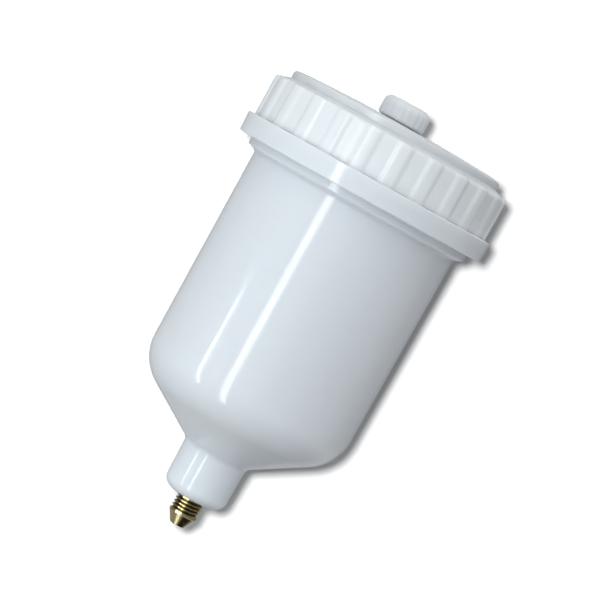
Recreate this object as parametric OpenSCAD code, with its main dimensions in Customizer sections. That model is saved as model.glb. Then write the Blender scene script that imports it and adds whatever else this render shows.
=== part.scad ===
// Paint cup of a gravity-feed spray gun, with its screw lid and vented cap.
// Millimetres. The origin is on the axis, where the brass thread leaves the neck's bottom face.
// +Z runs up the cup to the lid. The gun is below, at -Z.

/* [Cup] */
// Outer diameter of the cup wall just under the step ring
body_d = 90.6; // [74:0.2:110]
// How much smaller the cup wall's radius is at the shoulder
wall_taper = 0.4; // [0:0.1:1.5]
// Height of the collar's underside
collar_z = 138.6; // [112:0.1:170]
// Radius of the shoulder between the wall and the conical bottom
shoulder_r = 19.5; // [14:0.5:26]
// Half angle of the conical bottom
cone_angle = 57.5; // [50:0.5:62]
// Wall thickness of the cup
cup_wall = 2.2; // [1.6:0.1:3]
// Height of the step ring under the collar
step_h = 3; // [2:0.2:6]
// How far the step ring stands out from the cup wall
step_out = 3.8; // [3:0.1:5]
// Height of the collar
collar_h = 8.5; // [6:0.5:12]
// How far the collar stands out from the cup wall
collar_out = 9.7; // [9:0.1:12]

/* [Neck and outlet] */
// Diameter of the neck at its bottom end, before the edge rounding
neck_d = 27; // [22:0.2:34]
// Height at which the neck meets the conical bottom
neck_h = 20.5; // [18:0.1:28]
// Radius of the neck's bottom edge
neck_edge_r = 4.6; // [2:0.2:5]
// How much larger the neck's radius is at its top
neck_taper = 0.45; // [0:0.05:1]
// Major diameter of the outlet thread
outlet_d = 11.85; // [9.85:0.05:14.25]
// Pitch of the outlet thread
outlet_pitch = 1.5; // [1:0.25:2]
// Length of the thread, from the neck to the cone
outlet_len = 7.9; // [6:0.1:12]
// Bore of the outlet
outlet_bore_d = 5; // [3.8:0.1:5.4]
// Outer diameter of the nose at its tip
nose_d = 6.4; // [6:0.1:7.6]
// Half angle of the conical nose
nose_angle = 30; // [24:1:45]
// Height of the brass shank inside the neck
shank_h = 12; // [10:0.5:14]
// Diameter of the shank's flanges
shank_d = 18; // [16:0.5:20]

/* [Strainer] */
// Height of the strainer's cage above its flange
strainer_h = 22; // [14:1:30]
// Diameter of the cage
strainer_d = 8.4; // [7:0.2:10.2]
// Number of bars round the cage
strainer_bars = 6; // [4:1:8]

/* [Lid] */
// Height of the skirt, from its bottom edge to the rim of the shoulder
skirt_h = 17.1; // [16:0.1:24]
// Wall of the skirt, outside its thread
skirt_wall = 2.6; // [2.2:0.1:4]
// Width of the sloping shoulder between the skirt and the raised middle
shoulder_w = 5.8; // [4:0.2:12]
// Rise of that shoulder
shoulder_rise = 2.1; // [0.5:0.1:3]
// Number of grip ribs round the skirt
ribs = 24; // [12:1:32]
// How far a rib stands out from the skirt between the ribs
rib_out = 0.85; // [0.3:0.05:1.1]
// Width of a rib
rib_w = 5.8; // [2:0.1:7]
// Turn of the ribs about the axis, in degrees
rib_turn = 7.5; // [-15:0.5:15]
// Height of the raised middle's side
plateau_h = 3.4; // [2.4:0.1:6]
// Rise of the low dome on the raised middle
dome_h = 1.3; // [0.6:0.1:2]
// Thickness of the lid's top
lid_top = 2.4; // [1.8:0.1:2.9]

/* [Lid thread] */
// Rise of the lid in one turn
lid_pitch = 4; // [3.3:0.1:4.8]
// Radial depth of the cup's thread
lid_thread_depth = 1.5; // [1.2:0.05:1.8]
// Turns of thread on the cup
cup_turns = 2; // [1.75:0.05:2.2]
// Turns of thread in the lid
lid_turns = 1.5; // [1:0.05:1.6]
// Radial gap between a thread and the wall that it faces
lid_gap = 0.4; // [0.3:0.05:0.6]
// Thickness of the gasket
gasket_t = 1.6; // [1.2:0.1:2.2]

/* [Vent] */
// Diameter of the vent cap
cap_d = 20.4; // [16.6:0.2:26]
// Height of the vent cap
cap_h = 8.5; // [8:0.1:12]
// Number of fine flutes round the vent cap
cap_flutes = 20; // [12:1:30]
// Depth of a fine flute
cap_flute_depth = 0.3; // [0.1:0.05:0.5]
// Thread diameter of the vent spigot
spigot_d = 11; // [9:0.2:12]
// Rise of the vent cap in one turn
vent_pitch = 1.5; // [1.3:0.1:1.8]
// Diameter of the vent hole
vent_d = 3; // [2:0.1:4]

/* [Hidden] */

// Steps of a full circle in rounded outlines, coarse threads and fine threads
arc_steps = 96;
coarse_steps = 36;
fine_steps = 24;
// How far a ridge runs into the solid that it joins, and a cut past the solid that it opens
sunk = 0.2;
past = 1;

// Colours, as the photograph shows them
milky = [0.90, 0.92, 0.94];
cap_white = [0.84, 0.86, 0.87];
brass = [0.72, 0.62, 0.33];
seal_grey = [0.72, 0.73, 0.72];
mesh_white = [0.88, 0.88, 0.84];

// Cup outline: radii start with r_, heights with z_
r_body = body_d / 2;
r_shoulder = r_body - wall_taper;
r_neck = neck_d / 2;
r_neck_top = r_neck + neck_taper;
r_step = r_body + step_out;
r_collar = r_body + collar_out;
z_step = collar_z - step_h;
z_collar_top = collar_z + collar_h;
step_edge = 0.3;
step_angle = 20;
cove_r = 2;
collar_edge_r = 0.7;
collar_draft = 0.3;
neck_root_r = 3;

// Groove that cores the collar from below, so that its walls stay even
core_wall = 1.8;
core_roof = 2.2;
r_core = r_collar - core_wall;
z_core = z_collar_top - core_roof;

// The step ring slopes in to a cove that meets the wall
cove_x = r_body + cove_r;
z_cove = z_step - cove_r * cos(step_angle)
    - (r_step - step_edge - cove_x + cove_r * sin(step_angle)) * tan(step_angle);

// The conical bottom is a line from the neck's top, and the shoulder's arc touches it
cone_slope = 1 / tan(cone_angle);
function cone_z(r) = neck_h + (r - r_neck_top) * cone_slope;
shoulder_x = r_shoulder - shoulder_r;
z_shoulder = cone_z(shoulder_x + shoulder_r * cos(cone_angle)) + shoulder_r * sin(cone_angle);
cone_wall_rise = cup_wall / sin(cone_angle);
neck_root_x = r_neck_top + neck_root_r;
z_neck_root = cone_z(neck_root_x - neck_root_r * cos(cone_angle)) - neck_root_r * sin(cone_angle);

// Rim and its thread
rim_wall = 3;
rim_edge = 0.5;
rim_out = 2.5;
r_thread_root = r_body + rim_out;
r_thread_crest = r_thread_root + lid_thread_depth;
r_rim_in = r_thread_root - rim_wall;

// Lid
skirt_gap = 0.3;
skirt_lead = 0.8;
ceiling_drop = 1.8;
crest_room = 0.2;
skirt_edge_r = 2.2;
skirt_foot = 0.4;
plateau_edge_r = 1.4;
plateau_foot_r = 0.6;
thread_end_gap = 2;
z_skirt = z_collar_top + skirt_gap;
z_skirt_top = z_skirt + skirt_h;
z_ceiling = z_skirt_top - ceiling_drop;
z_rim = z_ceiling - gasket_t;
r_lid_in = r_thread_crest + lid_gap + crest_room;
r_lid_crest = r_thread_root + lid_gap;
r_skirt = r_lid_in + skirt_wall;
r_plateau = r_skirt - shoulder_w;
r_recess = r_plateau - lid_top;
shoulder_slope = atan(shoulder_rise / shoulder_w);
z_plateau_foot = z_skirt_top + shoulder_rise;
z_plateau_edge = z_plateau_foot + plateau_h;
z_dome = z_plateau_edge + dome_h;
dome_r = (r_plateau * r_plateau + dome_h * dome_h) / (2 * dome_h);
dome_edge_angle = asin(r_plateau / dome_r);
function dome_z(r) = z_dome - dome_r + sqrt(dome_r * dome_r - r * r);

// Coarse thread: crest width, rise of each flank, and the play that closes when the lid is tight
coarse_crest = 0.26 * lid_pitch;
coarse_flank = 0.35;
coarse_play = 0.3;
z_cup_thread = z_rim - thread_end_gap - cup_turns * lid_pitch;
z_lid_thread = z_cup_thread + lid_pitch / 2 + coarse_play;

// Outlet thread: depth and crest of a 60 degree metric thread, between two plain lands
r_outlet = outlet_d / 2;
outlet_depth = 0.6134 * outlet_pitch;
outlet_crest = outlet_pitch / 8;
crest_relief = 0.03;
land_top = 0.8;
land_end = 0.6;
nose_h = (r_outlet - nose_d / 2) / tan(nose_angle);

// Shank moulded into the neck, and the strainer's seat in it
shank_flange_h = 3;
foot_h = 1.5;
foot_out = 0.5;
waist_in = 2;
flat_in = 1;
r_shank = shank_d / 2;
r_waist = r_shank - waist_in;
seat_ledge = 1.1;
seat_depth = 5;
seat_clearance = 0.05;
r_seat = outlet_bore_d / 2 + seat_ledge;
neck_lip = 0.6;
z_floor = shank_h + neck_lip;

// Strainer
r_strainer = strainer_d / 2;
cage_wall = 0.7;
mesh_wall = 0.2;
bar_w = 1.2;
strainer_flange_w = 1;
strainer_flange_h = 1.2;
strainer_top_h = 1.4;
hoop_h = 1;
pull_d = 3;
pull_h = 1.8;
funnel_ledge = 1.8;
stub_ledge = 0.35;
r_strainer_flange = max(r_strainer, r_seat) + strainer_flange_w;
r_funnel = r_strainer_flange + funnel_ledge;
r_stub_bore = outlet_bore_d / 2 - stub_ledge;
z_cage = z_floor + strainer_flange_h;
z_cage_top = z_cage + strainer_h;

// Gasket
gasket_inset = 0.5;
gasket_gap = 0.3;
gasket_in = r_rim_in + gasket_inset;
gasket_out = r_lid_crest - gasket_gap;

// Vent spigot, cap and seal
vent_gap = 0.3;
vent_depth = 0.8;
vent_crest = 0.2 * vent_pitch;
vent_flank = 0.25;
spigot_turns = 2;
spigot_lead = 0.6;
cap_turns = 1.25;
cap_lift = 0.4;
cap_roof = 2.4;
cap_edge_r = 3;
cap_foot_r = 1.3;
cap_core_h = 4.6;
seal_t = 1.2;
seal_gap = 0.3;
slot_w = 2;
slot_depth = 1.6;
slot_foot = 0.5;
r_spigot = spigot_d / 2;
r_spigot_root = r_spigot - vent_depth;
r_cap = cap_d / 2;
r_cap_in = r_spigot + vent_gap;
r_cap_crest = r_spigot_root + vent_gap;
z_cap = z_dome + cap_lift;
z_cap_top = z_cap + cap_h;
z_cap_roof = z_cap_top - cap_roof;
z_spigot_top = z_cap_roof - seal_t;
z_spigot_thread = z_spigot_top - spigot_lead - spigot_turns * vent_pitch;
z_cap_thread = z_spigot_thread + vent_pitch / 2;

// Points of an arc of radius r about c, from angle a0 to a1
function arc(c, r, a0, a1) =
    let (n = max(2, ceil(abs(a1 - a0) * arc_steps / 360)))
    [for (i = [0:n])
        let (a = a0 + (a1 - a0) * i / n)
        [c[0] + r * cos(a), c[1] + r * sin(a)]];

// Points along the lid's dome between two radii, lowered by drop
function dome_points(ra, rb, drop) =
    [for (i = [0:8])
        let (r = ra + (rb - ra) * i / 8)
        [r, dome_z(r) - drop]];

// Solid turned from an outline of radius and height
module turned(points) {
    rotate_extrude($fn = arc_steps)
    polygon(points);
}

// Round bar from one height to another
module bar(r, z0, z1) {
    translate([0, 0, z0])
    cylinder(h = z1 - z0, r = r, $fn = arc_steps);
}

// Ring between two radii, from one height to another
module ring(r_in, r_out, z0, z1) {
    difference() {
        bar(r_out, z0, z1);
        bar(r_in, z0 - past, z1 + past);
    }
}

// Ridge of a right-hand thread. It stands out of a shaft where r_crest is larger than r_root,
// and out of a bore where it is smaller. Tapered ends rise over a tenth of a turn.
module thread(r_root, r_crest, pitch, turns, z0, crest, flank, steps, tapered) {
    count = round(turns * steps);
    outside = r_crest > r_root;
    rise = steps / 10;
    function height(i) = tapered ? max(0.05, min(1, i / rise, (count - i) / rise)) : 1;
    function section(i) =
        let (rc = r_root + (r_crest - r_root) * height(i))
        [[r_root, -flank - crest / 2], [rc, -crest / 2], [rc, crest / 2], [r_root, flank + crest / 2]];
    points = [for (i = [0:count], p = section(i))
        let (a = 360 * i / steps)
        [p[0] * cos(a), p[0] * sin(a), z0 + pitch * i / steps + p[1]]];
    sides = [for (i = [0:count - 1], k = [0:3])
        let (a = 4 * i + k, b = 4 * i + (k + 1) % 4)
        each [[a, b, b + 4], [a, b + 4, a + 4]]];
    n = 4 * count;
    caps = [[2, 1, 0], [3, 2, 0], [n, n + 1, n + 2], [n, n + 2, n + 3]];
    faces = concat(sides, caps);
    polyhedron(points, outside ? faces : [for (f = faces) [f[2], f[1], f[0]]], convexity = 10);
}

// Brass shank inside the neck. Its foot is flush with the neck's bottom face.
// The connector uses it, and so does the room that the plastic leaves for it.
module shank() {
    bar(r_outlet + foot_out, 0, foot_h);
    difference() {
        union() {
            bar(r_waist, foot_h, shank_h);
            bar(r_shank, foot_h, foot_h + shank_flange_h);
            bar(r_shank, shank_h - shank_flange_h, shank_h);
        }
        // Two flats keep the shank from turning in the plastic
        for (side = [-1, 1])
            translate([side * (shank_d - flat_in), 0, shank_h / 2])
            cube([shank_d, shank_d, shank_h + past], center = true);
    }
}

// Moulded cup, from the threaded rim down to the neck
module cup_body() {
    color(milky)
    difference() {
        union() {
            turned(concat(
                [[0, 0]],
                arc([r_neck - neck_edge_r, neck_edge_r], neck_edge_r, -90, 0),
                arc([neck_root_x, z_neck_root], neck_root_r, 180, 180 - cone_angle),
                arc([shoulder_x, z_shoulder], shoulder_r, -cone_angle, 0),
                arc([cove_x, z_cove], cove_r, 180, 90 + step_angle),
                [[r_step - step_edge, z_step],
                 [r_step, z_step + step_edge],
                 [r_step, z_core],
                 [r_core, z_core],
                 [r_core, collar_z]],
                arc([r_collar - collar_draft - collar_edge_r, collar_z + collar_edge_r],
                    collar_edge_r, -90, 0),
                arc([r_collar - collar_edge_r, z_collar_top - collar_edge_r], collar_edge_r, 0, 90),
                [[r_thread_root, z_collar_top],
                 [r_thread_root, z_rim - rim_edge],
                 [r_thread_root - rim_edge, z_rim],
                 [0, z_rim]]));
            thread(r_thread_root - sunk, r_thread_crest, lid_pitch, cup_turns, z_cup_thread,
                   coarse_crest, coarse_flank, coarse_steps, true);
        }
        // Inside, from the strainer's floor to the open rim
        turned(concat(
            [[0, z_floor],
             [r_funnel, z_floor],
             [r_funnel, cone_z(r_funnel) + cone_wall_rise]],
            arc([shoulder_x, z_shoulder], shoulder_r - cup_wall, -cone_angle, 0),
            [[r_body - cup_wall, z_cove],
             [r_rim_in, z_step],
             [r_rim_in, z_rim + past],
             [0, z_rim + past]]));
        shank();
        bar(r_seat, shank_h - past, z_floor + past);
    }
}

// Turned brass outlet, moulded into the neck
module outlet_connector() {
    color(brass)
    difference() {
        union() {
            shank();
            bar(r_outlet - outlet_depth, -outlet_len, 0);
            thread(r_outlet - outlet_depth - sunk, r_outlet - crest_relief, outlet_pitch,
                   (outlet_len - land_top - land_end + 2 * sunk) / outlet_pitch,
                   land_end - outlet_len - sunk, outlet_crest, (outlet_depth + sunk) * tan(30),
                   fine_steps, false);
            bar(r_outlet, -land_top, 0);
            bar(r_outlet, -outlet_len, -outlet_len + land_end);
            translate([0, 0, -outlet_len - nose_h])
            cylinder(h = nose_h, r1 = nose_d / 2, r2 = r_outlet, $fn = arc_steps);
        }
        bar(outlet_bore_d / 2, -outlet_len - nose_h - past, shank_h + past);
        bar(r_seat, shank_h - seat_depth, shank_h + past);
    }
}

// Moulded cage that stands over the outlet
module strainer_frame() {
    window_w = 2 * PI * (r_strainer - cage_wall / 2) / strainer_bars - bar_w;
    window_h = (strainer_h - strainer_top_h - 2 * hoop_h) / 2;
    color(cap_white)
    difference() {
        union() {
            bar(r_seat - seat_clearance, shank_h - seat_depth, z_floor + sunk);
            bar(r_strainer_flange, z_floor, z_cage);
            bar(r_strainer, z_cage, z_cage_top);
            bar(pull_d / 2, z_cage_top, z_cage_top + pull_h);
        }
        bar(r_stub_bore, shank_h - seat_depth - past, z_cage);
        bar(r_strainer - cage_wall, z_cage - strainer_flange_h / 2, z_cage_top - strainer_top_h);
        for (i = [0:strainer_bars - 1], row = [0, 1])
            rotate([0, 0, 360 * i / strainer_bars])
            translate([r_strainer / 2, -window_w / 2, z_cage + hoop_h / 2 + row * (window_h + hoop_h)])
            cube([r_strainer, window_w, window_h]);
    }
}

// Woven sleeve inside the cage
module strainer_mesh() {
    r_mesh = r_strainer - cage_wall;
    color(mesh_white)
    ring(r_mesh - mesh_wall, r_mesh, z_cage - strainer_flange_h / 2, z_cage_top - strainer_top_h);
}

// Flat ring that seals the lid on the cup's rim
module lid_gasket() {
    color(seal_grey)
    ring(gasket_in, gasket_out, z_rim, z_ceiling);
}

// Skirt and sloping shoulder of the lid, out to radius r. The slope always runs on to the same corner line.
module skirt(r) {
    z_corner = z_skirt_top + (r_skirt - r) * tan(shoulder_slope);
    z_edge = z_corner - skirt_edge_r * tan(45 - shoulder_slope / 2);
    turned(concat(
        [[0, z_skirt],
         [r - skirt_foot, z_skirt],
         [r, z_skirt + skirt_foot]],
        arc([r - skirt_edge_r, z_edge], skirt_edge_r, 0, 90 - shoulder_slope),
        [[r_plateau, z_plateau_foot],
         [0, z_plateau_foot]]));
}

// Moulded screw lid with its vent spigot
module lid() {
    color(milky)
    difference() {
        union() {
            difference() {
                union() {
                    skirt(r_skirt - rib_out);
                    intersection() {
                        skirt(r_skirt);
                        for (i = [0:ribs - 1])
                            rotate([0, 0, rib_turn + 360 * i / ribs])
                            translate([r_plateau, -rib_w / 2, z_skirt - past])
                            cube([r_skirt - r_plateau + past, rib_w, skirt_h + shoulder_rise + past]);
                    }
                    turned(concat(
                        [[0, z_skirt_top],
                         [r_plateau, z_skirt_top],
                         [r_plateau + plateau_foot_r, z_plateau_foot - plateau_foot_r * tan(shoulder_slope)],
                         [r_plateau, z_plateau_foot + plateau_foot_r / 2]],
                        arc([r_plateau - plateau_edge_r, z_plateau_edge - plateau_edge_r],
                            plateau_edge_r, 0, 90 - dome_edge_angle),
                        dome_points(r_plateau - 2 * plateau_edge_r, 0, 0)));
                }
                // Room for the rim and its thread, with a lead-in at the bottom edge
                turned([[0, z_skirt - past],
                        [r_lid_in + skirt_lead, z_skirt - past],
                        [r_lid_in + skirt_lead, z_skirt],
                        [r_lid_in, z_skirt + skirt_lead],
                        [r_lid_in, z_ceiling],
                        [0, z_ceiling]]);
                turned(concat(
                    [[0, z_ceiling - past],
                     [r_recess, z_ceiling - past]],
                    dome_points(r_recess, 0, lid_top)));
            }
            thread(r_lid_in + sunk, r_lid_crest, lid_pitch, lid_turns, z_lid_thread,
                   coarse_crest, coarse_flank, coarse_steps, true);
            bar(r_spigot_root, z_dome - lid_top / 2, z_spigot_top);
            thread(r_spigot_root - sunk, r_spigot, vent_pitch, spigot_turns, z_spigot_thread,
                   vent_crest, vent_flank, fine_steps, true);
        }
        bar(vent_d / 2, z_dome - lid_top - past, z_spigot_top + past);
        // Slot in the spigot's side that lets air in once the cap is turned up
        translate([r_spigot_root - slot_depth, -slot_w / 2, z_dome + slot_foot])
        cube([slot_depth + vent_depth + past, slot_w, z_spigot_top - z_dome]);
    }
}

// Disc in the vent cap that closes the vent hole
module vent_seal() {
    color(seal_grey)
    bar(r_cap_crest - seal_gap, z_spigot_top, z_cap_roof);
}

// Knob that screws on the vent spigot
module vent_cap() {
    groove_r = 1.6;
    sleeve_wall = 1.4;
    color(cap_white)
    difference() {
        union() {
            difference() {
                turned(concat(
                    [[0, z_cap]],
                    arc([r_cap - cap_foot_r, z_cap + cap_foot_r], cap_foot_r, -90, 0),
                    arc([r_cap - cap_edge_r, z_cap_top - cap_edge_r], cap_edge_r, 0, 90),
                    [[0, z_cap_top]]));
                for (i = [0:cap_flutes - 1])
                    rotate([0, 0, 360 * i / cap_flutes])
                    translate([r_cap - cap_flute_depth + groove_r, 0, z_cap - past])
                    cylinder(h = cap_h + 2 * past, r = groove_r, $fn = arc_steps);
                bar(r_cap_in, z_cap - past, z_cap_roof);
            }
            thread(r_cap_in + sunk, r_cap_crest, vent_pitch, cap_turns, z_cap_thread,
                   vent_crest, vent_flank, fine_steps, true);
        }
        // Coring between the threaded sleeve and the outer wall
        ring(r_cap_in + sleeve_wall, r_cap - cap_flute_depth - sleeve_wall,
             z_cap - past, z_cap + cap_core_h);
    }
}

cup_body();
outlet_connector();
strainer_frame();
strainer_mesh();
lid_gasket();
lid();
vent_seal();
vent_cap();
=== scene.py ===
import math

import bmesh
import bpy
from mathutils import Matrix, Vector


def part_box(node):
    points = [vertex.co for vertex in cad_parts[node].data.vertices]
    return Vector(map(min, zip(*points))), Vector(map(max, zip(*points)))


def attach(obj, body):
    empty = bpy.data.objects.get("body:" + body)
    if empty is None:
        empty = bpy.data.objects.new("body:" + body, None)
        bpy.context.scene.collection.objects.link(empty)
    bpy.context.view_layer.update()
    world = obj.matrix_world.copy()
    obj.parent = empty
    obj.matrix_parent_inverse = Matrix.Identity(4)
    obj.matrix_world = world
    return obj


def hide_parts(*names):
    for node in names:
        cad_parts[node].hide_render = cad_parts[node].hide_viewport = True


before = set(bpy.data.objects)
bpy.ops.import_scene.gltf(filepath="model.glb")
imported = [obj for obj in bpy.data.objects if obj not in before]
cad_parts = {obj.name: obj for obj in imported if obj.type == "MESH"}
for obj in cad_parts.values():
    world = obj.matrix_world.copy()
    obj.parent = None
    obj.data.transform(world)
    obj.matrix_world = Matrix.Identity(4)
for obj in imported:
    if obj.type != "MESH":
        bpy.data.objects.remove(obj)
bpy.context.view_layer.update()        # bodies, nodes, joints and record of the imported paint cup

# Cup body
# The cup is one moulding of milky polypropylene, from the threaded rim down to the neck. The neck is
# moulded round the brass outlet's shank, and a groove cores the collar from below to keep its walls even.
mm = 0.001
cup_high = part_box("cup_body")[1]
rim_z = cup_high.z
collar_r = cup_high.x
collar_top = rim_z - 14 * mm
collar_z = collar_top - 8.5 * mm
collar_draft = 0.3 * mm
collar_edge = 0.7 * mm
body_r = collar_r - 9.7 * mm
shoulder_x = body_r - 0.4 * mm
shoulder_round = 19.5 * mm
cone_angle = math.radians(57.5)
cup_wall = 2.2 * mm
step_r = body_r + 3.8 * mm
step_z = collar_z - 3 * mm
step_angle = math.radians(20)
cove_round = 2 * mm
core_r = collar_r - 1.8 * mm
core_top = collar_top - 2.2 * mm
rim_r = body_r + 2.5 * mm
rim_in = rim_r - 3 * mm
neck_r = 13.5 * mm
neck_top_r = neck_r + 0.45 * mm
neck_h = 20.5 * mm
neck_edge = 4.6 * mm
neck_root = 3 * mm
funnel_r = 7 * mm
shank_h = 12 * mm
floor_z = shank_h + 0.6 * mm
flange_r = 9 * mm
waist_r = 7 * mm
foot_r = 6.425 * mm
foot_h = 1.5 * mm
flange_h = 3 * mm
seat_r = 3.6 * mm
shank_flat = 8 * mm
small_edge = 0.3 * mm
soft_edge = 0.5 * mm
cup_columns = 192
lid_pitch = 4 * mm
lid_thread_depth = 1.5 * mm
ridge_crest = 1.04 * mm
ridge_flank = 0.35 * mm
ridge_sunk = 0.2 * mm
thread_drop = 10 * mm
cup_turns = 2
coarse_steps = 72


def cone_z(r):
    """Height of the conical bottom's outside at a radius."""
    return neck_h + (r - neck_top_r) / math.tan(cone_angle)


def rounded(corners, step=math.radians(7)):
    """Turns corners (radius, height, rounding) of a closed outline into points, each rounding an arc."""
    points = []
    for i, (r, z, rounding) in enumerate(corners):
        corner = Vector((r, z))
        if not rounding:
            points.append(corner)
            continue
        before = (Vector(corners[i - 1][:2]) - corner).normalized()
        after = (Vector(corners[(i + 1) % len(corners)][:2]) - corner).normalized()
        half = before.angle(after) / 2
        centre = corner + (before + after).normalized() * rounding / math.sin(half)
        first = corner + before * rounding / math.tan(half) - centre
        turned = first.angle_signed(corner + after * rounding / math.tan(half) - centre)
        count = max(3, math.ceil(abs(turned) / step))
        for k in range(count + 1):
            points.append(centre + Matrix.Rotation(-turned * k / count, 2) @ first)
    return points


def turn(name, outline, columns, angles=None):
    """Turns an outline of radius and height round the cup's axis, ring by ring. An outline whose ends
    lie on the axis is closed there, and any other runs back to its first point. angles, in degrees,
    spaces the columns unevenly within each repeat of the pattern."""
    on_axis = outline[0][0] < 1e-9
    rings = outline[1:-1] if on_axis else outline + outline[:1]
    bpy.ops.object.select_all(action="DESELECT")
    bpy.ops.mesh.primitive_circle_add(vertices=columns, radius=rings[0][0],
                                      location=(0, 0, rings[0][1]))
    piece = bpy.context.object
    piece.name = piece.data.name = name
    bpy.ops.object.transform_apply(location=True, rotation=True, scale=True)
    bpy.ops.object.mode_set(mode="EDIT")
    for k, angle in enumerate(angles or []):
        pick(piece, lambda vertex: vertex.index % len(angles) == k)
        shift = math.radians(angle) - 2 * math.pi * k / columns
        bpy.ops.transform.rotate(value=-shift, orient_axis="Z", center_override=(0, 0, 0))
    bpy.ops.mesh.select_all(action="SELECT")
    if on_axis:
        cap_ring()
    for (r, z), (r_next, z_next) in zip(rings, rings[1:]):
        bpy.ops.mesh.extrude_edges_move(TRANSFORM_OT_translate={"value": (0, 0, z_next - z)})
        bpy.ops.transform.resize(value=(r_next / r, r_next / r, 1), center_override=(0, 0, z_next))
    if on_axis:
        cap_ring()
    bpy.ops.mesh.select_all(action="SELECT")
    bpy.ops.mesh.remove_doubles(threshold=1e-7)
    bpy.ops.mesh.normals_make_consistent(inside=False)
    bpy.ops.object.mode_set(mode="OBJECT")
    return piece


def cap_ring():
    """Closes the selected ring with triangles to a new vertex at its centre, and selects the ring again."""
    mesh = bmesh.from_edit_mesh(bpy.context.object.data)
    ring = [edge for edge in mesh.edges if edge.select]
    centre = mesh.verts.new(sum((edge.verts[0].co for edge in ring), Vector()) / len(ring))
    for edge in ring:
        mesh.faces.new((*edge.verts, centre))
    for face in mesh.faces:
        face.select = False
    for edge in ring:
        edge.select = True
    bmesh.update_edit_mesh(bpy.context.object.data)


def pick(piece, test):
    """Selects the vertices of a piece in edit mode that pass a test."""
    mesh = bmesh.from_edit_mesh(piece.data)
    for vertex in mesh.verts:
        vertex.select = test(vertex)
    mesh.select_mode = {"VERT"}
    mesh.select_flush_mode()
    bmesh.update_edit_mesh(piece.data)


def flatten_sides(piece, half_width, z_low, z_high, r_high):
    """Presses the sides of a shank, or of the room for one, flat at half_width from the axis."""
    bpy.ops.object.mode_set(mode="EDIT")
    for side in (-1, 1):
        pick(piece, lambda vertex: side * vertex.co.x > half_width
             and z_low - 1e-6 < vertex.co.z < z_high + 1e-6 and vertex.co.xy.length < r_high)
        bpy.ops.transform.resize(value=(0, 1, 1), center_override=(side * half_width, 0, 0))
    bpy.ops.object.mode_set(mode="OBJECT")


def ridge(name, root, crest, foot_width, crest_width, z, pitch, turns, steps):
    """Winds a right-hand ridge from radius root to radius crest round the axis, starting at height z.
    Its ends run out to the root over a tenth of a turn."""
    bpy.ops.object.select_all(action="DESELECT")
    bpy.ops.mesh.primitive_plane_add(size=1, location=((root + crest) / 2, 0, z),
                                     rotation=(math.pi / 2, 0, 0))
    piece = bpy.context.object
    piece.name = name
    piece.scale = (abs(crest - root), foot_width, 1)
    bpy.ops.object.transform_apply(location=True, rotation=True, scale=True)
    bpy.ops.object.mode_set(mode="EDIT")
    pick(piece, lambda vertex: abs(vertex.co.x - crest) < 1e-6)
    bpy.ops.transform.resize(value=(1, 1, crest_width / foot_width), center_override=(0, 0, z))
    bpy.ops.mesh.select_all(action="SELECT")
    bpy.ops.mesh.delete(type="ONLY_FACE")
    bpy.ops.object.mode_set(mode="OBJECT")
    count = round(turns * steps)
    winding = piece.modifiers.new("Winding", "SCREW")
    winding.angle = 2 * math.pi * turns
    winding.screw_offset = pitch * turns
    winding.steps = winding.render_steps = count
    bpy.ops.object.modifier_apply(modifier=winding.name)
    bpy.ops.object.mode_set(mode="EDIT")
    run_out = steps // 10
    for k in range(run_out):
        height = max(k / run_out, 0.02)
        shrink = (root + (crest - root) * height) / crest
        pick(piece, lambda vertex: vertex.index // 4 in (k, count - k)
             and abs(vertex.co.xy.length - crest) < 1e-6)
        bpy.ops.transform.resize(value=(shrink, shrink, 1), center_override=(0, 0, 0))
    for end in (0, count):
        pick(piece, lambda vertex: vertex.index // 4 == end)
        bpy.ops.mesh.edge_face_add()
    bpy.ops.mesh.select_all(action="SELECT")
    bpy.ops.mesh.normals_make_consistent(inside=False)
    bpy.ops.object.mode_set(mode="OBJECT")
    return piece


def combine(piece, tool, operation):
    """Joins a tool's shape to a piece, or cuts it out of it."""
    bpy.context.view_layer.objects.active = piece
    modifier = piece.modifiers.new("Combine", "BOOLEAN")
    modifier.operation = operation
    modifier.object = tool
    modifier.solver = "EXACT"
    bpy.ops.object.modifier_apply(modifier=modifier.name)
    bpy.data.objects.remove(tool, do_unlink=True)


def smooth(piece, angle=38):
    """Shades a piece smooth except across corners, with normals that keep its flats flat."""
    bpy.ops.object.select_all(action="DESELECT")
    piece.select_set(True)
    bpy.context.view_layer.objects.active = piece
    bpy.ops.object.shade_smooth_by_angle(angle=math.radians(angle))
    modifier = piece.modifiers.new("Normals", "WEIGHTED_NORMAL")
    modifier.keep_sharp = True
    bpy.ops.object.modifier_apply(modifier=modifier.name)


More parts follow.
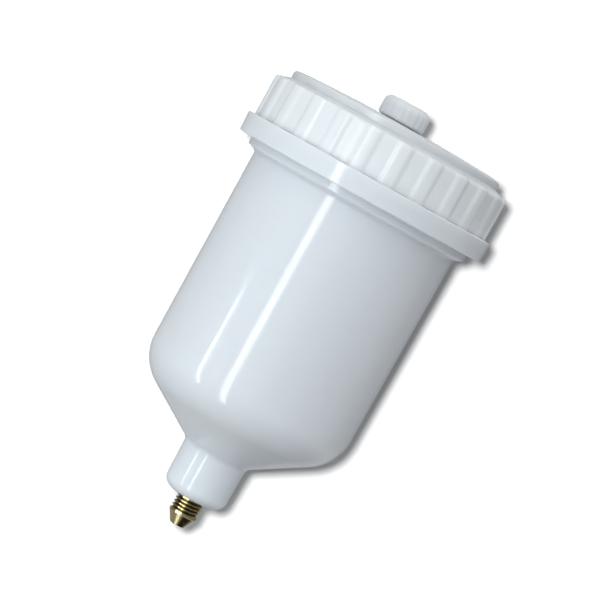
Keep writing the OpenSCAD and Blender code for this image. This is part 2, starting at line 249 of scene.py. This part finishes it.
inner_rise = cup_wall / math.sin(cone_angle)
step_edge_z = step_z + small_edge * math.tan(step_angle)
cup_outline = rounded([
    (foot_r, 0, 0),
    (neck_r, 0, neck_edge),
    (neck_top_r, neck_h, neck_root),
    (shoulder_x, cone_z(shoulder_x), shoulder_round),
    (body_r, step_edge_z - (step_r - body_r) * math.tan(step_angle), cove_round),
    (step_r, step_edge_z, small_edge),
    (step_r, core_top, small_edge),
    (core_r, core_top, small_edge),
    (core_r, collar_z, small_edge),
    (collar_r - collar_draft, collar_z, collar_edge),
    (collar_r, collar_top, collar_edge),
    (rim_r, collar_top, small_edge),
    (rim_r, rim_z, soft_edge),
    (rim_in, rim_z, soft_edge),
    (rim_in, step_z, soft_edge),
    (body_r - cup_wall, step_z - cove_round, soft_edge),
    (shoulder_x - cup_wall, cone_z(shoulder_x - cup_wall) + inner_rise, shoulder_round - cup_wall),
    (funnel_r, cone_z(funnel_r) + inner_rise, soft_edge),
    (funnel_r, floor_z, soft_edge),
    (seat_r, floor_z, 0),
    (seat_r, shank_h, 0),
    (flange_r, shank_h, 0),
    (flange_r, shank_h - flange_h, 0),
    (waist_r, shank_h - flange_h, 0),
    (waist_r, foot_h + flange_h, 0),
    (flange_r, foot_h + flange_h, 0),
    (flange_r, foot_h, 0),
    (foot_r, foot_h, 0),
])
cup = turn("moulded_cup", cup_outline, cup_columns)
flatten_sides(cup, shank_flat, foot_h, shank_h, flange_r + 1e-6)
cup_thread = ridge("cup_ridge", root=rim_r - ridge_sunk, crest=rim_r + lid_thread_depth,
                   foot_width=ridge_crest + 2 * ridge_flank, crest_width=ridge_crest,
                   z=rim_z - thread_drop, pitch=lid_pitch, turns=cup_turns, steps=coarse_steps)
combine(cup, cup_thread, "UNION")
smooth(cup)


def plastic(name, light, dark, gloss, grain, glow, depth=0.005, shaded_heights=None):
    """Milky moulded plastic. light and dark are the colours of its clouding, gloss the least and most
    roughness, grain the depth of the mould's fine grain in metres, glow how much light goes in and depth
    how far. The last argument, if given, is the span of heights over which the colour is greyed with painted
    shade, fully so above the span, standing for the dark inside behind the thin top."""
    material = bpy.data.materials.new(name)
    material.use_nodes = True
    nodes, links = material.node_tree.nodes, material.node_tree.links
    shader = nodes["Principled BSDF"]
    place = nodes.new("ShaderNodeTexCoord")
    clouding = nodes.new("ShaderNodeTexNoise")
    clouding.inputs["Scale"].default_value = 34
    clouding.inputs["Detail"].default_value = 4
    links.new(place.outputs["Object"], clouding.inputs["Vector"])
    colour = nodes.new("ShaderNodeMix")
    colour.data_type = "RGBA"
    colour.inputs["A"].default_value = (*light, 1)
    colour.inputs["B"].default_value = (*dark, 1)
    links.new(clouding.outputs["Fac"], colour.inputs["Factor"])
    links.new(colour.outputs["Result"], shader.inputs["Base Color"])
    # Painted shade: the colour greys upward across the given heights, and stays fully grey above them
    if shaded_heights:
        height = nodes.new("ShaderNodeSeparateXYZ")
        links.new(place.outputs["Object"], height.inputs["Vector"])
        share = nodes.new("ShaderNodeMapRange")
        share.inputs["From Min"].default_value = shaded_heights[0]
        share.inputs["From Max"].default_value = shaded_heights[1]
        links.new(height.outputs["Z"], share.inputs["Value"])
        painted_shade_mix = nodes.new("ShaderNodeMix")
        painted_shade_mix.data_type = "RGBA"
        painted_shade_mix.blend_type = "MULTIPLY"
        painted_shade_mix.inputs["B"].default_value = (0.86, 0.86, 0.86, 1)
        links.new(share.outputs["Result"], painted_shade_mix.inputs["Factor"])
        links.new(colour.outputs["Result"], painted_shade_mix.inputs["A"])
        links.new(painted_shade_mix.outputs["Result"], shader.inputs["Base Color"])
    handling = nodes.new("ShaderNodeTexNoise")
    handling.inputs["Scale"].default_value = 90
    handling.inputs["Detail"].default_value = 6
    handling.inputs["Roughness"].default_value = 0.65
    links.new(place.outputs["Object"], handling.inputs["Vector"])
    roughness = nodes.new("ShaderNodeMapRange")
    roughness.inputs["From Min"].default_value = 0.3
    roughness.inputs["From Max"].default_value = 0.7
    roughness.inputs["To Min"].default_value = gloss[0]
    roughness.inputs["To Max"].default_value = gloss[1]
    links.new(handling.outputs["Fac"], roughness.inputs["Value"])
    links.new(roughness.outputs["Result"], shader.inputs["Roughness"])
    sink_depth = 0.05 * mm
    sink = nodes.new("ShaderNodeTexNoise")
    sink.inputs["Scale"].default_value = 55
    sink.inputs["Detail"].default_value = 1
    links.new(place.outputs["Object"], sink.inputs["Vector"])
    sink_bump = nodes.new("ShaderNodeBump")
    sink_bump.inputs["Distance"].default_value = sink_depth
    links.new(sink.outputs["Fac"], sink_bump.inputs["Height"])
    fine = nodes.new("ShaderNodeTexNoise")
    fine.inputs["Scale"].default_value = 2600
    fine.inputs["Detail"].default_value = 2
    links.new(place.outputs["Object"], fine.inputs["Vector"])
    fine_bump = nodes.new("ShaderNodeBump")
    fine_bump.inputs["Distance"].default_value = grain
    links.new(fine.outputs["Fac"], fine_bump.inputs["Height"])
    links.new(sink_bump.outputs["Normal"], fine_bump.inputs["Normal"])
    links.new(fine_bump.outputs["Normal"], shader.inputs["Normal"])
    shader.inputs["IOR"].default_value = 1.49
    shader.inputs["Subsurface Weight"].default_value = glow
    shader.inputs["Subsurface Radius"].default_value = (1, 0.95, 0.85)
    shader.inputs["Subsurface Scale"].default_value = depth
    return material


cup.data.materials.clear()
cup.data.materials.append(plastic("cup_plastic", light=(0.82, 0.86, 0.90), dark=(0.79, 0.83, 0.87),
                                  gloss=(0.1, 0.15), grain=0.002 * mm, glow=0.6))
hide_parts("cup_body")
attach(cup, "cup")

# Brass outlet
# The outlet is turned from brass bar and moulded into the neck, where its flanges, waist and flats hold
# it. Below the neck it has a 1.5 mm thread with an open run-out and a 60 degree cone that seals in the gun.
nose_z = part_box("outlet_connector")[0].z
nose_r = 3.2 * mm
outlet_r = 5.925 * mm
outlet_end = -7.9 * mm
bore_r = 2.5 * mm
seat_depth = 5 * mm
outlet_pitch = 1.5 * mm
outlet_depth = 0.86 * mm
groove_top = 1.14 * mm
groove_root = 0.25 * mm
groove_over = 0.4 * mm
groove_start = 0.7 * mm
groove_turns = 4.2
groove_steps = 64
# How far below the crest the painted shade in the grooves fades out
shade_free_crest = 0.15 * mm
turning_depth = 0.003 * mm
tool_mark = 0.15 * mm
nose_round = 0.8 * mm
brass_outline = rounded([
    (bore_r, nose_z, tool_mark),
    (nose_r, nose_z, tool_mark),
    (outlet_r, outlet_end, nose_round),
    (outlet_r, 0, 0),
    (foot_r, 0, 0),
    (foot_r, foot_h, 0),
    (flange_r, foot_h, tool_mark),
    (flange_r, foot_h + flange_h, tool_mark),
    (waist_r, foot_h + flange_h, tool_mark),
    (waist_r, shank_h - flange_h, tool_mark),
    (flange_r, shank_h - flange_h, tool_mark),
    (flange_r, shank_h, tool_mark),
    (seat_r, shank_h, tool_mark),
    (seat_r, shank_h - seat_depth, tool_mark),
    (bore_r, shank_h - seat_depth, tool_mark),
])
brass = turn("brass_outlet", brass_outline, 128)
flatten_sides(brass, shank_flat, foot_h, shank_h, flange_r + 1e-6)
groove_slope = (groove_top - groove_root) / outlet_depth
thread_cut = ridge("thread_cut", root=outlet_r + groove_over, crest=outlet_r - outlet_depth,
                   foot_width=groove_top + groove_slope * groove_over, crest_width=groove_root,
                   z=outlet_end + groove_start, pitch=outlet_pitch, turns=groove_turns, steps=groove_steps)
combine(brass, thread_cut, "DIFFERENCE")
smooth(brass, 30)

brass_metal = bpy.data.materials.new("turned_brass")
brass_metal.use_nodes = True
nodes, links = brass_metal.node_tree.nodes, brass_metal.node_tree.links
shader = nodes["Principled BSDF"]
shader.inputs["Metallic"].default_value = 1
place = nodes.new("ShaderNodeTexCoord")
tarnish = nodes.new("ShaderNodeTexNoise")
tarnish.inputs["Scale"].default_value = 420
tarnish.inputs["Detail"].default_value = 5
links.new(place.outputs["Object"], tarnish.inputs["Vector"])
brass_colour = nodes.new("ShaderNodeMix")
brass_colour.data_type = "RGBA"
brass_colour.inputs["A"].default_value = (0.60, 0.53, 0.30, 1)
brass_colour.inputs["B"].default_value = (0.44, 0.37, 0.18, 1)
links.new(tarnish.outputs["Fac"], brass_colour.inputs["Factor"])
# Painted shade darkens the thread's grooves, by their distance from the axis
axis_part = nodes.new("ShaderNodeVectorMath")
axis_part.operation = "MULTIPLY"
axis_part.inputs[1].default_value = (1, 1, 0)
links.new(place.outputs["Object"], axis_part.inputs[0])
from_axis = nodes.new("ShaderNodeVectorMath")
from_axis.operation = "LENGTH"
links.new(axis_part.outputs["Vector"], from_axis.inputs[0])
depth_in_groove = nodes.new("ShaderNodeMapRange")
depth_in_groove.inputs["From Min"].default_value = outlet_r - outlet_depth
depth_in_groove.inputs["From Max"].default_value = outlet_r - shade_free_crest
depth_in_groove.inputs["To Min"].default_value = 1
depth_in_groove.inputs["To Max"].default_value = 0
links.new(from_axis.outputs["Value"], depth_in_groove.inputs["Value"])
height = nodes.new("ShaderNodeSeparateXYZ")
links.new(place.outputs["Object"], height.inputs["Vector"])
on_thread = nodes.new("ShaderNodeMath")
on_thread.operation = "GREATER_THAN"
on_thread.inputs[1].default_value = outlet_end
links.new(height.outputs["Z"], on_thread.inputs[0])
groove_shade = nodes.new("ShaderNodeMath")
groove_shade.operation = "MULTIPLY"
links.new(depth_in_groove.outputs["Result"], groove_shade.inputs[0])
links.new(on_thread.outputs["Value"], groove_shade.inputs[1])
# The dark colour of the painted groove shade, mixed in by depth in the groove on the thread only
groove_shaded_brass = nodes.new("ShaderNodeMix")
groove_shaded_brass.data_type = "RGBA"
groove_shaded_brass.inputs["B"].default_value = (0.14, 0.11, 0.05, 1)
links.new(groove_shade.outputs["Value"], groove_shaded_brass.inputs["Factor"])
links.new(brass_colour.outputs["Result"], groove_shaded_brass.inputs["A"])
links.new(groove_shaded_brass.outputs["Result"], shader.inputs["Base Color"])
brass_roughness = nodes.new("ShaderNodeMapRange")
brass_roughness.inputs["From Min"].default_value = 0.3
brass_roughness.inputs["From Max"].default_value = 0.7
brass_roughness.inputs["To Min"].default_value = 0.1
brass_roughness.inputs["To Max"].default_value = 0.2
links.new(tarnish.outputs["Fac"], brass_roughness.inputs["Value"])
links.new(brass_roughness.outputs["Result"], shader.inputs["Roughness"])
turning = nodes.new("ShaderNodeTexWave")
turning.bands_direction = "Z"
turning.inputs["Scale"].default_value = 3200
turning.inputs["Distortion"].default_value = 1.5
turning.inputs["Detail"].default_value = 2
links.new(place.outputs["Object"], turning.inputs["Vector"])
turning_bump = nodes.new("ShaderNodeBump")
turning_bump.inputs["Distance"].default_value = turning_depth
links.new(turning.outputs["Fac"], turning_bump.inputs["Height"])
links.new(turning_bump.outputs["Normal"], shader.inputs["Normal"])
brass.data.materials.clear()
brass.data.materials.append(brass_metal)
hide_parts("outlet_connector")
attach(brass, "cup")

# Strainer
# A moulded cage stands over the outlet and is pushed into its bore from inside the cup. It keeps its own
# shape from the model. The sleeve in it is woven from nylon thread.
sleeve_low, sleeve_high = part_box("strainer_mesh")
thread_d = 0.16 * mm
sleeve_columns = 36
sleeve_rows = 36
bpy.ops.object.select_all(action="DESELECT")
bpy.ops.mesh.primitive_circle_add(vertices=sleeve_columns, radius=sleeve_high.x - thread_d / 2,
                                  location=(0, 0, sleeve_low.z + thread_d / 2))
sleeve = bpy.context.object
sleeve.name = sleeve.data.name = "woven_sleeve"
bpy.ops.object.transform_apply(location=True, rotation=True, scale=True)
bpy.ops.object.mode_set(mode="EDIT")
bpy.ops.mesh.select_all(action="SELECT")
sleeve_step = (sleeve_high.z - sleeve_low.z - thread_d) / sleeve_rows
for _ in range(sleeve_rows):
    bpy.ops.mesh.extrude_edges_move(TRANSFORM_OT_translate={"value": (0, 0, sleeve_step)})
bpy.ops.mesh.select_all(action="SELECT")
bpy.ops.mesh.normals_make_consistent(inside=False)
bpy.ops.object.mode_set(mode="OBJECT")
weave = sleeve.modifiers.new("Weave", "WIREFRAME")
weave.thickness = thread_d
weave.use_even_offset = False
bpy.ops.object.modifier_apply(modifier=weave.name)
smooth(sleeve, 60)
sleeve.data.materials.clear()
sleeve.data.materials.append(plastic("woven_nylon", light=(0.82, 0.82, 0.76), dark=(0.72, 0.72, 0.66),
                                     gloss=(0.35, 0.5), grain=0.001 * mm, glow=0.2))
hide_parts("strainer_mesh")
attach(sleeve, "cup")

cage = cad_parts["strainer_frame"]
cage.data.materials.clear()
cage.data.materials.append(plastic("cage_plastic", light=(0.86, 0.86, 0.82), dark=(0.80, 0.80, 0.76),
                                   gloss=(0.3, 0.45), grain=0.004 * mm, glow=0.3))

# Lid gasket
# A flat ring of soft grey rubber, cut from sheet and sprung into the lid. It seals on the cup's rim, and
# keeps its own shape from the model.
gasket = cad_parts["lid_gasket"]
seal_rubber = plastic("seal_rubber", light=(0.50, 0.51, 0.50), dark=(0.42, 0.43, 0.42),
                      gloss=(0.55, 0.75), grain=0.01 * mm, glow=0.0)
gasket.data.materials.clear()
gasket.data.materials.append(seal_rubber)

# Screw lid
# The lid is one moulding of the same milky plastic with a more satin finish. Its skirt has 24 raised
# grip ribs, its middle is a low dome with a plain edge, and the vent's threaded spigot stands on it.
lid_low, lid_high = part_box("lid")
skirt_z = lid_low.z
foot_drop = 0.2 * mm
rib_count = 24
rib_out = 0.85 * mm
recess_r = 52.5 * mm - rib_out
skirt_top = skirt_z + 17.1 * mm
shoulder_slope = math.atan(2.1 / 5.8)
plateau_r = 46.7 * mm
plateau_foot = skirt_top + 2.1 * mm
plateau_edge = plateau_foot + 3.4 * mm
plateau_round = 1.4 * mm
dome_h = 1.3 * mm
dome_z = plateau_edge + dome_h
dome_r = (plateau_r ** 2 + dome_h ** 2) / (2 * dome_h)
lid_top = 2.4 * mm
lid_in = 49.9 * mm
ceiling_z = skirt_top - 1.8 * mm
recess_in = plateau_r - lid_top
vent_r = 1.5 * mm
spigot_r = 4.7 * mm
spigot_top = lid_high.z
skirt_round = 2.2 * mm
tiny_edge = 0.1 * mm
foot_in = 0.8 * mm
dome_rings = (12 * mm, 20 * mm, 28 * mm, 35 * mm, 41 * mm)
under_rings = (35 * mm, 20 * mm, 8 * mm)
skirt_rings = (14 * mm, 10 * mm, 6 * mm, 2.4 * mm)
rib_start = 0.5 * mm
rib_fade = 0.9 * mm
lid_turns = 1.5
lid_thread_gap = 0.4 * mm
lid_thread_play = 0.3 * mm
vent_pitch = 1.5 * mm
fine_depth = 0.8 * mm
fine_foot = 0.8 * mm
fine_crest = 0.3 * mm
fine_drop = 3.6 * mm
fine_steps = 40
spigot_turns = 2
slot_half = 1.6 * mm
slot_width = 2 * mm
slot_start = 0.5 * mm
rib_columns = (0, 1.4, 2.8, 3.4, 3.9, 4.4, 4.9, 5.5, 6.2, 7.5, 8.8, 9.5, 10.1, 10.6, 11.1, 11.6, 12.2, 13.6)
rib_shares = {3.4: 0.1, 3.9: 0.3, 4.4: 0.55, 4.9: 0.78, 5.5: 0.94, 6.2: 1, 7.5: 1,
              8.8: 1, 9.5: 0.94, 10.1: 0.78, 10.6: 0.55, 11.1: 0.3, 11.6: 0.1}


def dome(r):
    """Height of the lid's low dome at a radius."""
    return dome_z - dome_r + math.sqrt(dome_r ** 2 - r ** 2)


corner_z = skirt_top + rib_out * math.tan(shoulder_slope)
lid_outline = rounded([
    (vent_r, spigot_top, 0),
    (spigot_r, spigot_top, soft_edge),
    (spigot_r, dome(spigot_r), small_edge),
    *[(r, dome(r), 0) for r in dome_rings],
    (plateau_r, plateau_edge, plateau_round),
    (plateau_r, plateau_foot, soft_edge),
    (recess_r, corner_z, skirt_round),
    *[(recess_r, skirt_z + z, 0) for z in skirt_rings],
    (recess_r, skirt_z - foot_drop, tiny_edge),
    (lid_in + foot_in, skirt_z - foot_drop, small_edge),
    (lid_in, skirt_z + foot_in, small_edge),
    (lid_in, ceiling_z, small_edge),
    (recess_in, ceiling_z, soft_edge),
    (recess_in, dome(recess_in) - lid_top, soft_edge),
    *[(r, dome(r) - lid_top, 0) for r in under_rings],
    (vent_r, dome(vent_r) - lid_top, 0),
])
lid = turn("screw_cap_lid", lid_outline, rib_count * len(rib_columns), rib_columns)
ribs = lid.vertex_groups.new(name="ribs")
for vertex in lid.data.vertices:
    x, y, z = vertex.co
    if math.hypot(x, y) < lid_in + soft_edge or z < skirt_z - foot_drop + 1e-6:
        continue
    column = math.degrees(math.atan2(y, x)) % (360 / rib_count)
    share = min(rib_shares.items(), key=lambda item: abs(item[0] - column))
    height = min(1, max(0, (corner_z + rib_start - z) / rib_fade))
    if abs(share[0] - column) < 0.05:
        ribs.add([vertex.index], share[1] * height, "REPLACE")
raising = lid.modifiers.new("Ribs", "DISPLACE")
raising.strength = rib_out
raising.mid_level = 0
raising.vertex_group = ribs.name
bpy.context.view_layer.objects.active = lid
bpy.ops.object.modifier_apply(modifier=raising.name)
lid_thread = ridge("lid_ridge", root=lid_in + ridge_sunk, crest=rim_r + lid_thread_gap,
                   foot_width=ridge_crest + 2 * ridge_flank, crest_width=ridge_crest,
                   z=rim_z - thread_drop + lid_pitch / 2 + lid_thread_play, pitch=lid_pitch,
                   turns=lid_turns, steps=coarse_steps)
combine(lid, lid_thread, "UNION")
spigot_thread = ridge("spigot_ridge", root=spigot_r - ridge_sunk, crest=spigot_r + fine_depth,
                      foot_width=fine_foot, crest_width=fine_crest, z=spigot_top - fine_drop,
                      pitch=vent_pitch, turns=spigot_turns, steps=fine_steps)
combine(lid, spigot_thread, "UNION")
bpy.ops.object.select_all(action="DESELECT")
bpy.ops.mesh.primitive_cube_add(size=1, location=(spigot_r, 0, dome_z + slot_start + spigot_r),
                                scale=(2 * slot_half, slot_width, 2 * spigot_r))
vent_slot = bpy.context.object
bpy.ops.object.transform_apply(location=True, rotation=True, scale=True)
combine(lid, vent_slot, "DIFFERENCE")
smooth(lid)
lid.data.materials.clear()
# The lid's plastic is greyed with painted shade above the top of its skirt
lid.data.materials.append(plastic("lid_plastic", light=(0.86, 0.89, 0.91), dark=(0.83, 0.86, 0.88),
                                  gloss=(0.2, 0.265), grain=0.004 * mm, glow=0.35, depth=2 * mm,
                                  shaded_heights=(skirt_top, plateau_foot)))
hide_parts("lid")
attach(lid, "screw_lid")

# Vent seal
# A disc of the same soft rubber, pressed under the vent cap's roof. It closes the vent hole, and keeps its
# own shape from the model.
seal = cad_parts["vent_seal"]
seal.data.materials.clear()
seal.data.materials.append(seal_rubber)

# Vent cap
# A small moulded knob that screws on the spigot. It has 20 fine flutes and well rounded edges, and it is
# cored between its threaded sleeve and its outer wall.
cap_low, cap_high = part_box("vent_cap")
cap_z = cap_low.z
cap_top = cap_high.z
cap_r = 10.2 * mm
cap_edge = 3 * mm
cap_foot = 1.3 * mm
cap_roof = cap_top - 2.4 * mm
sleeve_in = 5.8 * mm
sleeve_out = 7.2 * mm
cap_wall_in = 8.5 * mm
core_depth = 4.6 * mm
crown_r = 2 * mm
cap_turns = 1.25
cap_ridge_r = 5 * mm
flute_count = 20
flute_depth = 0.2 * mm
flute_columns = (0, 2.2, 4.2, 5.6, 7, 9, 11, 12.4, 13.8, 15.8)
flute_shares = {0: 1, 2.2: 0.8, 4.2: 0.25, 13.8: 0.25, 15.8: 0.8}
flute_in = 1.2 * mm
flute_fade = 0.9 * mm
cap_outline = rounded([
    (0, cap_top, 0),
    (crown_r, cap_top, 0),
    (cap_r, cap_top, cap_edge),
    (cap_r, cap_z, cap_foot),
    (cap_wall_in, cap_z, small_edge),
    (cap_wall_in, cap_z + core_depth, small_edge),
    (sleeve_out, cap_z + core_depth, small_edge),
    (sleeve_out, cap_z, small_edge),
    (sleeve_in, cap_z, small_edge),
    (sleeve_in, cap_roof, small_edge),
    (crown_r, cap_roof, 0),
    (0, cap_roof, 0),
])
cap = turn("vent_knob_cap", cap_outline, flute_count * len(flute_columns), flute_columns)
flutes = cap.vertex_groups.new(name="flutes")
for vertex in cap.data.vertices:
    x, y, z = vertex.co
    if math.hypot(x, y) < cap_wall_in + soft_edge:
        continue
    column = math.degrees(math.atan2(y, x)) % (360 / flute_count)
    share = min(flute_shares.items(), key=lambda item: abs(item[0] - column))
    outer = min(1, max(0, (math.hypot(x, y) - cap_r + flute_in) / flute_fade))
    if abs(share[0] - column) < 0.05 or abs(column - 360 / flute_count) < 0.05:
        flutes.add([vertex.index], share[1] * outer, "REPLACE")
sinking = cap.modifiers.new("Flutes", "DISPLACE")
sinking.strength = -flute_depth
sinking.mid_level = 0
sinking.vertex_group = flutes.name
bpy.context.view_layer.objects.active = cap
bpy.ops.object.modifier_apply(modifier=sinking.name)
cap_thread = ridge("cap_ridge", root=sleeve_in + ridge_sunk, crest=cap_ridge_r,
                   foot_width=fine_foot, crest_width=fine_crest, z=spigot_top - fine_drop + vent_pitch / 2,
                   pitch=vent_pitch, turns=cap_turns, steps=fine_steps)
combine(cap, cap_thread, "UNION")
smooth(cap)
cap.data.materials.clear()
cap.data.materials.append(plastic("cap_plastic", light=(0.89, 0.91, 0.93), dark=(0.84, 0.86, 0.88),
                                  gloss=(0.35, 0.5), grain=0.008 * mm, glow=0.3))
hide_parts("vent_cap")
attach(cap, "vent_knob")

# Studio
# A pale floor lies well below the outlet, and a white sheet behind the cup takes its shadow from a lamp
# beside the camera. The surround is bright but for a dark band on the right. Two narrow lights on the
# left make the streaks on the plastic, and wide ones brighten the brass, the right side and the back.
def stage_paint(name, glow, paint):
    """White paint that glows a little, so that it stays white, and isn't there when seen from behind."""
    material = bpy.data.materials.new(name)
    material.use_nodes = True
    nodes, links = material.node_tree.nodes, material.node_tree.links
    shader = nodes["Principled BSDF"]
    shader.inputs["Base Color"].default_value = (paint, paint, paint, 1)
    shader.inputs["Roughness"].default_value = 1
    shader.inputs["Specular IOR Level"].default_value = 0
    shader.inputs["Emission Color"].default_value = (1, 1, 1, 1)
    shader.inputs["Emission Strength"].default_value = glow
    clear = nodes.new("ShaderNodeBsdfTransparent")
    side = nodes.new("ShaderNodeNewGeometry")
    choice = nodes.new("ShaderNodeMixShader")
    links.new(side.outputs["Backfacing"], choice.inputs["Fac"])
    links.new(shader.outputs["BSDF"], choice.inputs[1])
    links.new(clear.outputs["BSDF"], choice.inputs[2])
    links.new(choice.outputs["Shader"], nodes["Material Output"].inputs["Surface"])
    return material


floor_size = 6
floor_drop = 0.14
bpy.ops.object.select_all(action="DESELECT")
bpy.ops.mesh.primitive_plane_add(size=floor_size, location=(0, 0, nose_z - floor_drop))
floor = bpy.context.object
floor.name = "studio_floor"
floor.data.materials.append(stage_paint("floor_paint", 0.85, 0.5))
floor.visible_diffuse = False
floor.visible_glossy = False
floor.visible_transmission = False
floor.visible_shadow = False

sheet_size = 0.8
sheet_place = (0, 0.057, 0.1)
bpy.ops.mesh.primitive_plane_add(size=sheet_size, location=sheet_place, rotation=(math.pi / 2, 0, 0))
sheet = bpy.context.object
sheet.name = "studio_sheet"
sheet.data.materials.append(stage_paint("sheet_paint", 0.02, 0.35))
sheet.visible_diffuse = False
sheet.visible_glossy = False
sheet.visible_transmission = False
sheet.visible_shadow = False

world = bpy.data.worlds.new("studio")
bpy.context.scene.world = world
world.use_nodes = True
nodes, links = world.node_tree.nodes, world.node_tree.links


def ramp(source, low, high, at_low, at_high):
    """A smooth rise or fall of a value of the world's direction, between two ends."""
    node = nodes.new("ShaderNodeMapRange")
    node.interpolation_type = "SMOOTHSTEP"
    node.inputs["From Min"].default_value = low
    node.inputs["From Max"].default_value = high
    node.inputs["To Min"].default_value = at_low
    node.inputs["To Max"].default_value = at_high
    links.new(source, node.inputs["Value"])
    return node.outputs["Result"]


def combine_values(operation, first, second=None):
    """One sum or product of two values of the world's direction."""
    node = nodes.new("ShaderNodeMath")
    node.operation = operation
    links.new(first, node.inputs[0])
    if second:
        links.new(second, node.inputs[1])
    return node.outputs["Value"]


direction = nodes.new("ShaderNodeTexCoord")
split = nodes.new("ShaderNodeSeparateXYZ")
links.new(direction.outputs["Generated"], split.inputs["Vector"])
steepness = combine_values("ABSOLUTE", split.outputs["Z"])
sky = ramp(split.outputs["Z"], -1, 1, 0.42, 0.57)
rightward = ramp(split.outputs["X"], -0.6, 0.9, 0.96, 1.4)
band = ramp(steepness, 0.1, 0.42, 1, 0)
dark_right = ramp(split.outputs["X"], -0.05, 0.25, 0, 0.7)
dark_left = ramp(split.outputs["X"], -0.95, -0.7, 0.6, 0)
band_dark = combine_values("MULTIPLY", band, combine_values("ADD", dark_right, dark_left))
below = ramp(split.outputs["Z"], -0.8, -0.3, 1, 0)
low_right = ramp(split.outputs["X"], -0.15, 0.3, 0, 0.88)
dark = combine_values("ADD", band_dark, combine_values("MULTIPLY", below, low_right))
lit = ramp(dark, 0, 1, 1, 0)
surround = nodes["Background"]
surround.inputs["Color"].default_value = (0.98, 0.985, 1, 1)
links.new(combine_values("MULTIPLY", combine_values("MULTIPLY", sky, rightward), lit),
          surround.inputs["Strength"])
backdrop = nodes.new("ShaderNodeBackground")
backdrop.inputs["Color"].default_value = (1, 1, 1, 1)
backdrop.inputs["Strength"].default_value = 1.1
seen = nodes.new("ShaderNodeLightPath")
choice = nodes.new("ShaderNodeMixShader")
links.new(seen.outputs["Is Camera Ray"], choice.inputs["Fac"])
links.new(surround.outputs["Background"], choice.inputs[1])
links.new(backdrop.outputs["Background"], choice.inputs[2])
links.new(choice.outputs["Shader"], nodes["World Output"].inputs["Surface"])


def soft_light(name, azimuth, distance, height, width, tall, power):
    """A rectangular softbox that faces the cup's axis. azimuth is from the camera's side, in degrees."""
    a = math.radians(azimuth)
    place = Vector((distance * math.sin(a), -distance * math.cos(a), height))
    aim = Vector((0, 0, height)) - place
    bpy.ops.object.light_add(type="AREA", location=place)
    light = bpy.context.object
    light.name = name
    light.rotation_euler = aim.to_track_quat("-Z", "Y").to_euler()
    light.data.shape = "RECTANGLE"
    light.data.size = width
    light.data.size_y = tall
    light.data.energy = power
    light.data.color = (0.9, 0.98, 1)
    light.visible_camera = False
    return light


soft_light("strip", azimuth=-23.2, distance=0.5, height=0.16, width=0.058, tall=1.2, power=1.95)
soft_light("side_strip", azimuth=-55.3, distance=0.5, height=-0.095, width=0.02, tall=0.29, power=0.34)
right_fill = soft_light("right_fill", azimuth=93, distance=0.6, height=0.01, width=0.4, tall=0.3, power=0.45)
right_fill.visible_glossy = False
back_fill = soft_light("back_fill", azimuth=170, distance=0.6, height=0.15, width=0.5, tall=0.6, power=0.9)
back_fill.visible_glossy = False
brass_light = soft_light("brass_light", azimuth=-37, distance=0.5, height=-0.45, width=0.42, tall=2.6,
                         power=5.8)
lit_by_panel = bpy.data.collections.new("lit_by_brass_light")
lit_by_panel.objects.link(brass)
brass_light.light_linking.receiver_collection = lit_by_panel

# Camera
# It looks a little down on the cup, level with the lid, and is rolled so that the cup leans to the
# right as in the photograph. The lamp up and left of it lights only the sheet and throws the cup's shadow.
camera_place = Vector((0, -0.99, 0.1469))
camera_aim = Vector((-0.0005, 0, 0.0906))
lean = math.radians(29.08)
bpy.ops.object.camera_add(location=camera_place)
camera = bpy.context.object
ahead = (camera_aim - camera_place).normalized()
level = ahead.cross(Vector((0, 0, 1))).normalized()
upright = level.cross(ahead)
right = level * math.cos(lean) + upright * math.sin(lean)
above = upright * math.cos(lean) - level * math.sin(lean)
camera.rotation_euler = Matrix((right, above, -ahead)).transposed().to_euler()
camera.data.lens = 148.5
camera.data.sensor_width = 36
camera.data.clip_start = 0.01
camera.data.clip_end = 100
bpy.context.scene.camera = camera

lamp_aside = 0.042
bpy.ops.object.light_add(type="AREA", location=camera_place + (above - right) * lamp_aside)
shadow_lamp = bpy.context.object
shadow_lamp.name = "shadow_lamp"
shadow_lamp.rotation_euler = camera.rotation_euler
shadow_lamp.data.shape = "DISK"
shadow_lamp.data.size = 0.07
shadow_lamp.data.energy = 27
shadow_lamp.visible_camera = False
shadow_lamp.visible_glossy = False
lit_by_lamp = bpy.data.collections.new("lit_by_shadow_lamp")
lit_by_lamp.objects.link(sheet)
shadow_lamp.light_linking.receiver_collection = lit_by_lamp
bpy.context.scene.view_settings.view_transform = "Standard"
